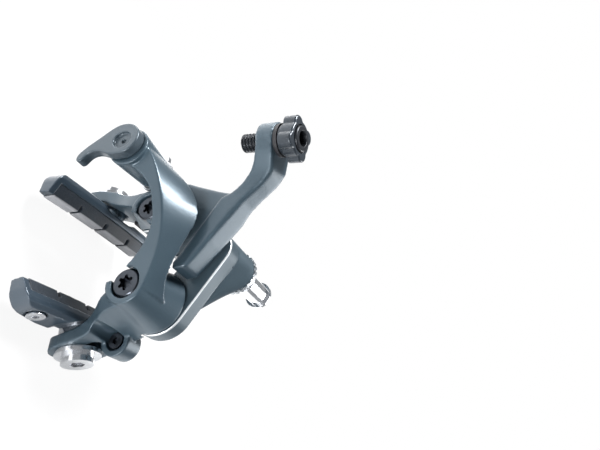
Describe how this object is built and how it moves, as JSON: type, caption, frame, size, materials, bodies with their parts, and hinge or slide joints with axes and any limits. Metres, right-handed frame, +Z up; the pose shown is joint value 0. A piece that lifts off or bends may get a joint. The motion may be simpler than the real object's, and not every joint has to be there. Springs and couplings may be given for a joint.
{
  "type": "bicycle caliper brake",
  "caption": "Side-pull bicycle caliper brake with an arched arm and a Y-shaped arm on separate pivots, cartridge shoes, cable adjuster and quick-release lever.",
  "frame": {"origin": "on the axis of the mounting stud, at the serrated washer's face that meets the bicycle", "axes": "+Z up towards the cable adjuster, the front of the brake looks along -Y and the mounting stud points along +Y, +X is the side of the arched arm's leg"},
  "size_m": [0.0703, 0.0707, 0.0881],
  "materials": {
    "arms": "painted satin",
    "shoe_holder": "painted satin",
    "pad_rubber": "matte",
    "steel": "satin",
    "washers": "satin",
    "dark_steel": "satin",
    "bearing": "satin",
    "lever": "satin",
    "black_alloy": "satin",
    "plain_alloy": "satin",
    "spring_wire": "satin",
    "plastic": "matte"
  },
  "bodies": {
    "base": {"bridge": "arms", "mounting_stud": "steel", "mounting_washer": "steel", "sleeve_nut": "steel", "return_spring": "spring_wire", "right_pivot_pin": "dark_steel", "right_thrust_washer": "bearing", "left_pivot_pin": "dark_steel", "left_thrust_washer": "bearing"},
    "long_arm": {"c_arm": "arms", "centering_screw": "steel", "right_shoe_bolt": "steel", "right_spacer": "washers", "right_dish_washer": "washers", "right_dome_washer": "washers", "right_holder": "shoe_holder", "right_pad": "pad_rubber", "right_retaining_screw": "steel", "right_spring_seat": "plastic", "right_bush": "bearing"},
    "short_arm": {"y_arm": "arms", "seal": "plastic", "left_shoe_bolt": "steel", "left_spacer": "washers", "left_dish_washer": "washers", "left_dome_washer": "washers", "left_holder": "shoe_holder", "left_pad": "pad_rubber", "left_retaining_screw": "steel", "left_spring_seat": "plastic", "left_bush": "bearing"},
    "quick_release": {"release_lever": "lever", "release_shaft": "plain_alloy", "clamp_plate": "plain_alloy", "anchor_bolt": "dark_steel"},
    "barrel_body": {"barrel": "black_alloy"},
    "nut_body": {"adjuster_nut": "black_alloy"}
  },
  "joints": [
    {"name": "long_arm_pivot", "type": "hinge", "parent": "base", "child": "long_arm", "pos_m": [0.0142, -0.025, -0.0195], "axis": [0, 1, 0], "range_deg": [0, 14], "stiffness_Nm_per_rad": 0.6, "springref_deg": -28.65, "deforming": ["return_spring"]},
    {"name": "short_arm_pivot", "type": "hinge", "parent": "base", "child": "short_arm", "pos_m": [-0.0142, -0.025, -0.0195], "axis": [0, 1, 0], "range_deg": [-14, 0]},
    {"name": "release_turn", "type": "hinge", "parent": "long_arm", "child": "quick_release", "pos_m": [-0.0252, -0.039, -0.0176], "axis": [0, 1, 0], "range_deg": [0, 90]},
    {"name": "nut_turn", "type": "hinge", "parent": "short_arm", "child": "nut_body", "pos_m": [-0.02968, -0.02883, 0.02906], "axis": [0.2318, -0.1185, 0.9655], "range_deg": [0, 1801]},
    {"name": "barrel_slide", "type": "slide", "parent": "short_arm", "child": "barrel_body", "axis": [0.2318, -0.1185, 0.9655], "range_m": [0, 0.005]}
  ],
  "couplings": [
    {"joint": "short_arm_pivot", "follows": "long_arm_pivot", "ratio": -1},
    {"joint": "nut_turn", "follows": "barrel_slide", "rad_per_m": 6283.2}
  ]
}
